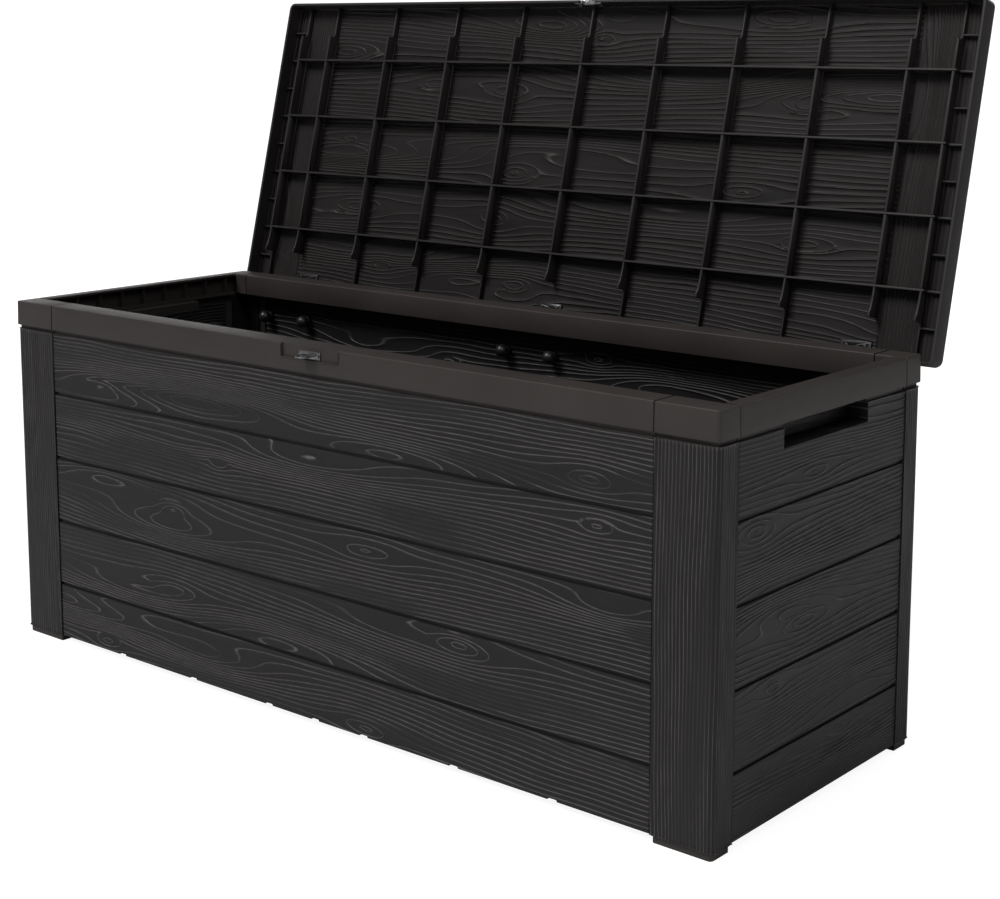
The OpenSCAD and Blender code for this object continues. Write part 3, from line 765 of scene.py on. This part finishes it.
def lid_faces(nx, ny, border, rings):
    """Faces and kinds of the top grid, the underside's grid and the skirt's rings between them."""
    faces = []
    for i in range(nx - 1):
        for j in range(ny - 1):
            a = i * ny + j
            faces.append([a, a + ny, a + ny + 1, a + 1])
    faces += [[nx * ny + i for i in quad[::-1]] for quad in faces]
    kinds = [GRAINED] * len(faces)
    n = len(border)
    loops = [border] + [2 * nx * ny + k * n + np.arange(n) for k in range(rings)] + [nx * ny + border]
    for upper, lower in zip(loops[:-1], loops[1:]):
        for k in range(n):
            m = (k + 1) % n
            faces.append([int(i) for i in (upper[k], lower[k], lower[m], upper[m])])
        kinds += [SMOOTH] * n
    return faces, kinds


def lid_shell(shells):
    """The lid's deck and skirt as one closed shell."""
    seams_x = [LID_END_X, HINGE_PITCH - HINGE_GAP, HINGE_GAP, HASP_GAP]
    zones_x = [(-LID_HALF_W, -LID_END_X, 2.4), (-LID_END_X, LID_END_X, 10), (LID_END_X, LID_HALF_W, 2.4)]
    xs = lid_places(LID_HALF_W, zones_x, seams_x)
    ys = lid_places(LID_HALF_D, [(-LID_HALF_D, LID_HALF_D, 2.25)], LID_SEAMS)
    nx, ny = len(xs), len(ys)
    x, y = np.meshgrid(xs, ys, indexing="ij")
    levels = lid_levels()
    grids = [lid_face(x, y, levels[0], 1, 300), lid_face(x, y, levels[-1], -1, 340)]
    around = [(i, 0) for i in range(nx)] + [(nx - 1, j) for j in range(1, ny)]
    around += [(i, ny - 1) for i in range(nx - 2, -1, -1)] + [(0, j) for j in range(ny - 2, 0, -1)]
    ai, aj = np.array(around).T
    skirt = [skirt_ring(xs[ai], ys[aj], level) for level in levels[1:-1]]
    faces, kinds = lid_faces(nx, ny, ai * ny + aj, len(skirt))
    blank = np.zeros(len(around) * len(skirt))
    lines = [np.concatenate([g[k].ravel() for g in grids] + [blank]) for k in (3, 4, 5)]
    points = [np.stack(g[:3], -1).reshape(-1, 3) for g in grids]
    # the end boards' fibres run from front to rear
    ends = np.abs(x) > LID_END_X
    fibres = np.where(ends, y, x), np.where(ends, x, y)
    place = [np.stack([*fibres, np.full_like(x, LID_NOISE * g)], -1).reshape(-1, 3) for g in (1, 2)]
    shells.add(np.concatenate(points + skirt), faces, kinds, lines, np.concatenate(place + skirt))


def as_open():
    """Turns the closed lid to where it rests when it is open, about the hinge line."""
    c, s = math.cos(-LID_OPEN), math.sin(-LID_OPEN)
    turn = np.array([[1, 0, 0], [0, c, -s], [0, s, c]])
    hinge = np.array([0, HINGE_Y, HINGE_Z])
    matrix = np.eye(4)
    matrix[:3, :3] = turn
    matrix[:3, 3] = hinge - turn @ hinge
    return matrix


def build_lid(resin):
    """The lid with the short webs between its skirt and the outermost ribs."""
    shells = Shells()
    lid_shell(shells)
    side_rib_x = HALF_W - RIM_SIDE_W - 5
    web_in = side_rib_x + 1.7  # 0.2 past the outermost rib's side
    web_out = LID_HALF_W - SKIRT_T + 0.5
    for j in range(-2, 3):
        y = j * LID_ROW
        for a, b in ((-web_out, -web_in), (web_in, web_out)):
            shells.block((a, y - 1.2, RIM_Z + 0.9), (b, y + 1.2, DECK_Z + 0.5))
    shells.piece("lid_planks", "lid", "resin", "lid_panel", resin, as_open())


# ---- knobs ----

KNOB_R = 9.5
COLLAR_R = 7.2
SHAFT_R = 4.0
KNOB_SIDES = 40


def knob_profile(front, wall_in, end):
    """(radius, y) from the middle of the round head, over the collar, to the end of the shaft."""
    arc = [math.radians(a) for a in range(4, 133, 8)]
    profile = [(0.05, front)]
    profile += [(KNOB_R * math.sin(a), front + KNOB_R - KNOB_R * math.cos(a)) for a in arc]
    profile += [(6.2, front + 17.0), (COLLAR_R - 0.4, front + 17.4), (COLLAR_R, front + 18.0)]
    profile += [(COLLAR_R, wall_in - 0.9), (COLLAR_R - 0.5, wall_in - 0.3), (SHAFT_R, wall_in - 0.3)]
    return profile + [(SHAFT_R, end), (0.05, end)]


def build_knobs(material):
    """Round knobs with a collar, on shafts that run out through the rear wall."""
    turns = np.linspace(0, 2 * math.pi, KNOB_SIDES, endpoint=False)
    for name in ("left", "middle", "right"):
        lo, hi = box_mm(name + "_hinge_knobs")
        z = (lo[2] + hi[2]) / 2
        profile = knob_profile(lo[1], HALF_D - INSET - SHEET, hi[1])
        last = KNOB_SIDES * (len(profile) - 1)
        faces = tube_faces(len(profile), KNOB_SIDES, True)
        faces += [list(range(KNOB_SIDES)), [last + k for k in reversed(range(KNOB_SIDES))]]
        shells = Shells()
        for x in (lo[0] + KNOB_R, hi[0] - KNOB_R):
            rings = [np.column_stack([x + r * np.cos(turns), np.full(KNOB_SIDES, y), z + r * np.sin(turns)])
                     for r, y in profile]
            shells.add(np.concatenate(rings), faces)
        shells.piece(name + "_knobs_turned", "box", "dark_resin", name + "_hinge_knobs", [material])


# ---- materials ----

# base colours: dark, light and, for grained resin, the ridges' pale colour, partly wear and partly painted
# highlight; for steel, bright and dull
COLOURS = {
    "band_resin": ((0.0262, 0.0218, 0.0200), (0.0335, 0.0281, 0.0260)),
    "dark_resin": ((0.0085, 0.0080, 0.0080), (0.0125, 0.0120, 0.0120)),
    "rib_resin": ((0.0135, 0.0114, 0.0110), (0.0190, 0.0163, 0.0158)),
    "grained_resin": ((0.0068, 0.0058, 0.0060), (0.0112, 0.0097, 0.0101), (0.158, 0.145, 0.146)),
    # the lid's copy of the grained resin is warmer and darker; the darkness is painted shade, and its painted
    # ridge highlight is weaker
    "lid_shaded_grained_resin": ((0.0064, 0.0050, 0.0048), (0.0104, 0.0083, 0.0080), (0.088, 0.076, 0.072)),
    "zinc_steel": ((0.30, 0.30, 0.31), (0.13, 0.13, 0.135)),
    "black_steel": ((0.045, 0.044, 0.045), (0.025, 0.024, 0.025)),
}
FIBRE_COLOUR = (0.006, 0.0055, 0.0055)
EVEN = (1, 1, 1)  # noise that isn't stretched


class Nodes:
    """A material's node tree, with short calls for the nodes used here."""

    def __init__(self, name):
        self.material = bpy.data.materials.new(name)
        self.material.use_nodes = True
        self.tree = self.material.node_tree
        self.shader = self.tree.nodes["Principled BSDF"]

    def node(self, kind, **settings):
        n = self.tree.nodes.new(kind)
        for key, value in settings.items():
            setattr(n, key, value)
        return n

    def link(self, source, target):
        self.tree.links.new(source, target)

    def math(self, operation, a, b=None, c=None):
        n = self.node("ShaderNodeMath", operation=operation)
        for socket, value in zip(n.inputs, (a, b, c)):
            if value is None:
                continue
            if isinstance(value, (int, float)):
                socket.default_value = value
            else:
                self.link(value, socket)
        return n.outputs[0]

    def attribute(self, name, vector=False):
        n = self.node("ShaderNodeAttribute", attribute_name=name)
        return n.outputs["Vector" if vector else "Fac"]

    def noise(self, place, stretch, scale, detail=3.0, roughness=0.5):
        mapping = self.node("ShaderNodeMapping")
        mapping.inputs["Scale"].default_value = stretch
        self.link(place, mapping.inputs["Vector"])
        n = self.node("ShaderNodeTexNoise")
        n.inputs["Scale"].default_value = scale
        n.inputs["Detail"].default_value = detail
        n.inputs["Roughness"].default_value = roughness
        self.link(mapping.outputs[0], n.inputs["Vector"])
        return n.outputs["Fac"]

    def remap(self, value, low, high, to_low, to_high):
        n = self.node("ShaderNodeMapRange")
        for key, number in (("From Min", low), ("From Max", high), ("To Min", to_low), ("To Max", to_high)):
            n.inputs[key].default_value = number
        self.link(value, n.inputs["Value"])
        return n.outputs[0]

    def blend(self, factor, first, second):
        """A mix of two colours, whose sockets are inputs 6 and 7 and output 2 of the node."""
        n = self.node("ShaderNodeMix", data_type="RGBA")
        self.link(factor, n.inputs["Factor"])
        for socket, value in ((n.inputs[6], first), (n.inputs[7], second)):
            if isinstance(value, tuple):
                socket.default_value = (*value, 1)
            else:
                self.link(value, socket)
        return n.outputs[2]

    def bump(self, height, distance, strength=1.0, below=None):
        n = self.node("ShaderNodeBump")
        n.inputs["Distance"].default_value = distance
        n.inputs["Strength"].default_value = strength
        self.link(height, n.inputs["Height"])
        if below is not None:
            self.link(below, n.inputs["Normal"])
        return n.outputs[0]

    def object_place(self):
        return self.node("ShaderNodeTexCoord").outputs["Object"]

    def done(self, colour, roughness, normal, specular=0.5, metallic=0.0):
        self.link(colour, self.shader.inputs["Base Color"])
        self.link(roughness, self.shader.inputs["Roughness"])
        self.link(normal, self.shader.inputs["Normal"])
        self.shader.inputs["Specular IOR Level"].default_value = specular
        self.shader.inputs["Metallic"].default_value = metallic
        return self.material


def grained_resin(name, specular):
    """Dark resin embossed with wood grain: growth lines, fine fibres and pale ridges, partly worn and partly
    a painted highlight.
    """
    dark, light, ridge_wear_and_highlight = COLOURS[name]
    m = Nodes(name)
    phase = m.attribute("grain_phase")
    amount = m.attribute("grain_amount")
    place = m.attribute("grain_place", vector=True)
    wave = m.math("COSINE", m.math("MULTIPLY", phase, 2 * math.pi))
    ridge = m.math("POWER", m.math("MULTIPLY_ADD", wave, 0.5, 0.5), m.attribute("grain_sharp"))
    ridge = m.math("MULTIPLY", ridge, amount)
    fibre = m.noise(place, (14, 420, 1), 1.0, 4.0, 0.6)
    broken = m.noise(place, (45, 130, 1), 1.0, 2.0)
    patch = m.noise(place, (5, 16, 1), 1.0, 2.0)
    ridge = m.math("MULTIPLY", ridge, m.remap(broken, 0.3, 0.65, 0.6, 1.0))
    body = m.blend(m.remap(patch, 0.3, 0.7, 0, 1), dark, light)
    # the ridge crests take the pale colour: partly wear, partly a painted highlight for the light that the
    # embossed lines catch
    lines = m.blend(m.math("MULTIPLY", ridge, 0.85), body, ridge_wear_and_highlight)
    colour = m.blend(m.remap(fibre, 0.35, 0.7, 0, 0.35), lines, FIBRE_COLOUR)
    uneven = m.math("ADD", m.math("MULTIPLY", fibre, 0.6), m.math("MULTIPLY", patch, 0.4))
    rough = m.remap(uneven, 0.3, 0.7, 0.42, 0.60)
    fine = m.bump(fibre, 0.00012, 0.8)
    normal = m.bump(ridge, 0.0024, 1.0, fine)
    return m.done(colour, rough, normal, specular)


def smooth_resin(name, stipple=1.0, rough=0.50):
    """Satin moulded resin with a fine stipple, faint flow marks and light scuffs."""
    dark, light = COLOURS[name]
    m = Nodes(name)
    place = m.object_place()
    grainy = m.noise(place, EVEN, 900, 3.0)
    cloud = m.noise(place, EVEN, 9, 3.0)
    scuff = m.noise(place, (30, 30, 90), 1.0, 5.0, 0.7)
    colour = m.blend(m.remap(cloud, 0.3, 0.7, 0, 1), dark, light)
    colour = m.blend(m.remap(scuff, 0.62, 0.8, 0, 0.25), colour, tuple(1.6 * c for c in light))
    spots = m.math("ADD", m.math("MULTIPLY", cloud, 0.5), m.math("MULTIPLY", scuff, 0.5))
    roughness = m.remap(spots, 0.3, 0.7, rough, rough + 0.12)
    normal = m.bump(grainy, 0.00004 * stipple, 0.8, m.bump(cloud, 0.0004, 0.4))
    return m.done(colour, roughness, normal, 0.35)


def plated_steel(name):
    """Plated steel with brush marks and dull spots."""
    bright, dull = COLOURS[name]
    m = Nodes(name)
    place = m.object_place()
    brush = m.noise(place, (900, 60, 900), 1.0, 3.0)
    spots = m.noise(place, EVEN, 220, 3.0)
    colour = m.blend(m.remap(spots, 0.35, 0.7, 0, 1), bright, dull)
    uneven = m.math("ADD", m.math("MULTIPLY", brush, 0.5), m.math("MULTIPLY", spots, 0.5))
    rough = m.remap(uneven, 0.3, 0.7, 0.24, 0.45)
    return m.done(colour, rough, m.bump(brush, 0.00003, 0.7), 0.5, 1.0)


def pale_floor():
    """White studio floor that keeps only a faint soft shadow."""
    m = Nodes("pale_floor")
    speck = m.noise(m.object_place(), EVEN, 60, 2.0)
    ray = m.node("ShaderNodeLightPath").outputs["Is Camera Ray"]
    bright = m.blend(m.remap(speck, 0.3, 0.7, 0, 1), (0.76, 0.76, 0.76), (0.80, 0.80, 0.80))
    m.link(m.blend(ray, bright, (0.25, 0.25, 0.25)), m.shader.inputs["Base Color"])
    m.shader.inputs["Roughness"].default_value = 0.9
    m.shader.inputs["Specular IOR Level"].default_value = 0.1
    m.shader.inputs["Emission Color"].default_value = (1, 1, 1, 1)
    m.link(m.math("MULTIPLY", ray, 0.92), m.shader.inputs["Emission Strength"])
    return m.material


def dress_cad_nodes(ribs, dark, zinc, black_steel):
    """Rounds the edges of the CAD nodes that show, and gives them their materials."""
    for name, node in frame["nodes"].items():
        if node.hide_render:
            continue
        metal = any(word in name for word in ("staple", "hasp", "pin", "screws"))
        finish = ribs if "ribs" in name else dark
        if metal:
            finish = zinc if "staple" in name or "hasp" in name else black_steel
        node.data.materials.clear()
        node.data.materials.append(finish)
        weld = node.modifiers.new("weld", "WELD")
        weld.merge_threshold = 0.00002
        bevel = node.modifiers.new("bevel", "BEVEL")
        bevel.width = 0.0003 if metal else 0.0006
        bevel.segments = 2
        bevel.limit_method = "ANGLE"
        bevel.angle_limit = math.radians(40)
        bevel.harden_normals = True
        node.data.polygons.foreach_set("use_smooth", np.ones(len(node.data.polygons), bool))


# ---- stage ----

WORLD_FOR_BOX = 0.10
WORLD_FOR_CAMERA = 1.1


def add_camera():
    """Three-quarter view from the front right, a little above the rim."""
    camera = bpy.data.objects.new("camera", bpy.data.cameras.new("camera"))
    bpy.context.scene.collection.objects.link(camera)
    azimuth, elevation = math.radians(40.18), math.radians(8.405)
    camera.location = (1.6166, -1.7816, 0.8756)
    forward = Vector((-math.sin(azimuth) * math.cos(elevation), math.cos(azimuth) * math.cos(elevation),
                      -math.sin(elevation)))
    camera.rotation_mode = "QUATERNION"
    camera.rotation_quaternion = forward.to_track_quat("-Z", "Y")
    camera.data.sensor_width = 36
    camera.data.lens = 66.59
    camera.data.shift_x = 0.006
    camera.data.shift_y = -0.1475
    bpy.context.scene.camera = camera


def area_light(name, place, target, size, power):
    """Rectangular light at a place, facing the target."""
    light = bpy.data.lights.new(name, "AREA")
    light.shape = "RECTANGLE"
    light.size, light.size_y = size
    light.energy = power
    obj = bpy.data.objects.new(name, light)
    obj.location = place
    obj.rotation_mode = "QUATERNION"
    obj.rotation_quaternion = (Vector(target) - Vector(place)).to_track_quat("-Z", "Y")
    bpy.context.scene.collection.objects.link(obj)


def sun_light(name, towards, strength, angle):
    """Broad light from the direction that towards points in."""
    light = bpy.data.lights.new(name, "SUN")
    light.energy = strength
    light.angle = math.radians(angle)
    obj = bpy.data.objects.new(name, light)
    obj.rotation_mode = "QUATERNION"
    obj.rotation_quaternion = Vector(towards).to_track_quat("Z", "Y")
    bpy.context.scene.collection.objects.link(obj)


def add_stage():
    """Floor, surroundings (dim for the box, white for the camera) and lights."""
    bpy.ops.mesh.primitive_grid_add(x_subdivisions=8, y_subdivisions=8, size=60, location=(0, 0, 0))
    floor = bpy.context.object
    floor.name = "floor"
    floor.data.materials.append(pale_floor())
    world = bpy.data.worlds.new("studio")
    bpy.context.scene.world = world
    world.use_nodes = True
    tree = world.node_tree
    tree.nodes.clear()
    out = tree.nodes.new("ShaderNodeOutputWorld")
    mix = tree.nodes.new("ShaderNodeMixShader")
    ray = tree.nodes.new("ShaderNodeLightPath")
    for i, strength in ((1, WORLD_FOR_BOX), (2, WORLD_FOR_CAMERA)):
        back = tree.nodes.new("ShaderNodeBackground")
        back.inputs["Color"].default_value = (1, 1, 1, 1)
        back.inputs["Strength"].default_value = strength
        tree.links.new(back.outputs[0], mix.inputs[i])
    tree.links.new(ray.outputs["Is Camera Ray"], mix.inputs[0])
    tree.links.new(mix.outputs[0], out.inputs[0])
    sun_light("high_light", (-0.35, -0.75, 1.0), 2.3, 25)
    sun_light("back_light", (-0.15, 1.0, 0.5), 0.9, 30)
    area_light("inside_fill", (1.3, -1.0, 2.2), (-0.4, 0, 0.4), (1.0, 1.0), 14)
    area_light("back_box", (-2.6, 3.0, 0.9), (0, 0, 0.4), (4.5, 1.6), 45)
    bpy.context.scene.view_settings.view_transform = "Standard"


add_camera()
band_resin = smooth_resin("band_resin")
dark_resin = smooth_resin("dark_resin", 2.0, 0.28)
rib_resin = smooth_resin("rib_resin", 1.5)
box_grained = grained_resin("grained_resin", 0.32)
# darker copy of the grained resin for the lid: painted shade
lid_grained = grained_resin("lid_shaded_grained_resin", 0.25)
build_walls([band_resin, box_grained])
build_posts([band_resin, box_grained])
build_lid([rib_resin, lid_grained])
build_knobs(dark_resin)
dress_cad_nodes(rib_resin, dark_resin, plated_steel("zinc_steel"), plated_steel("black_steel"))
add_stage()
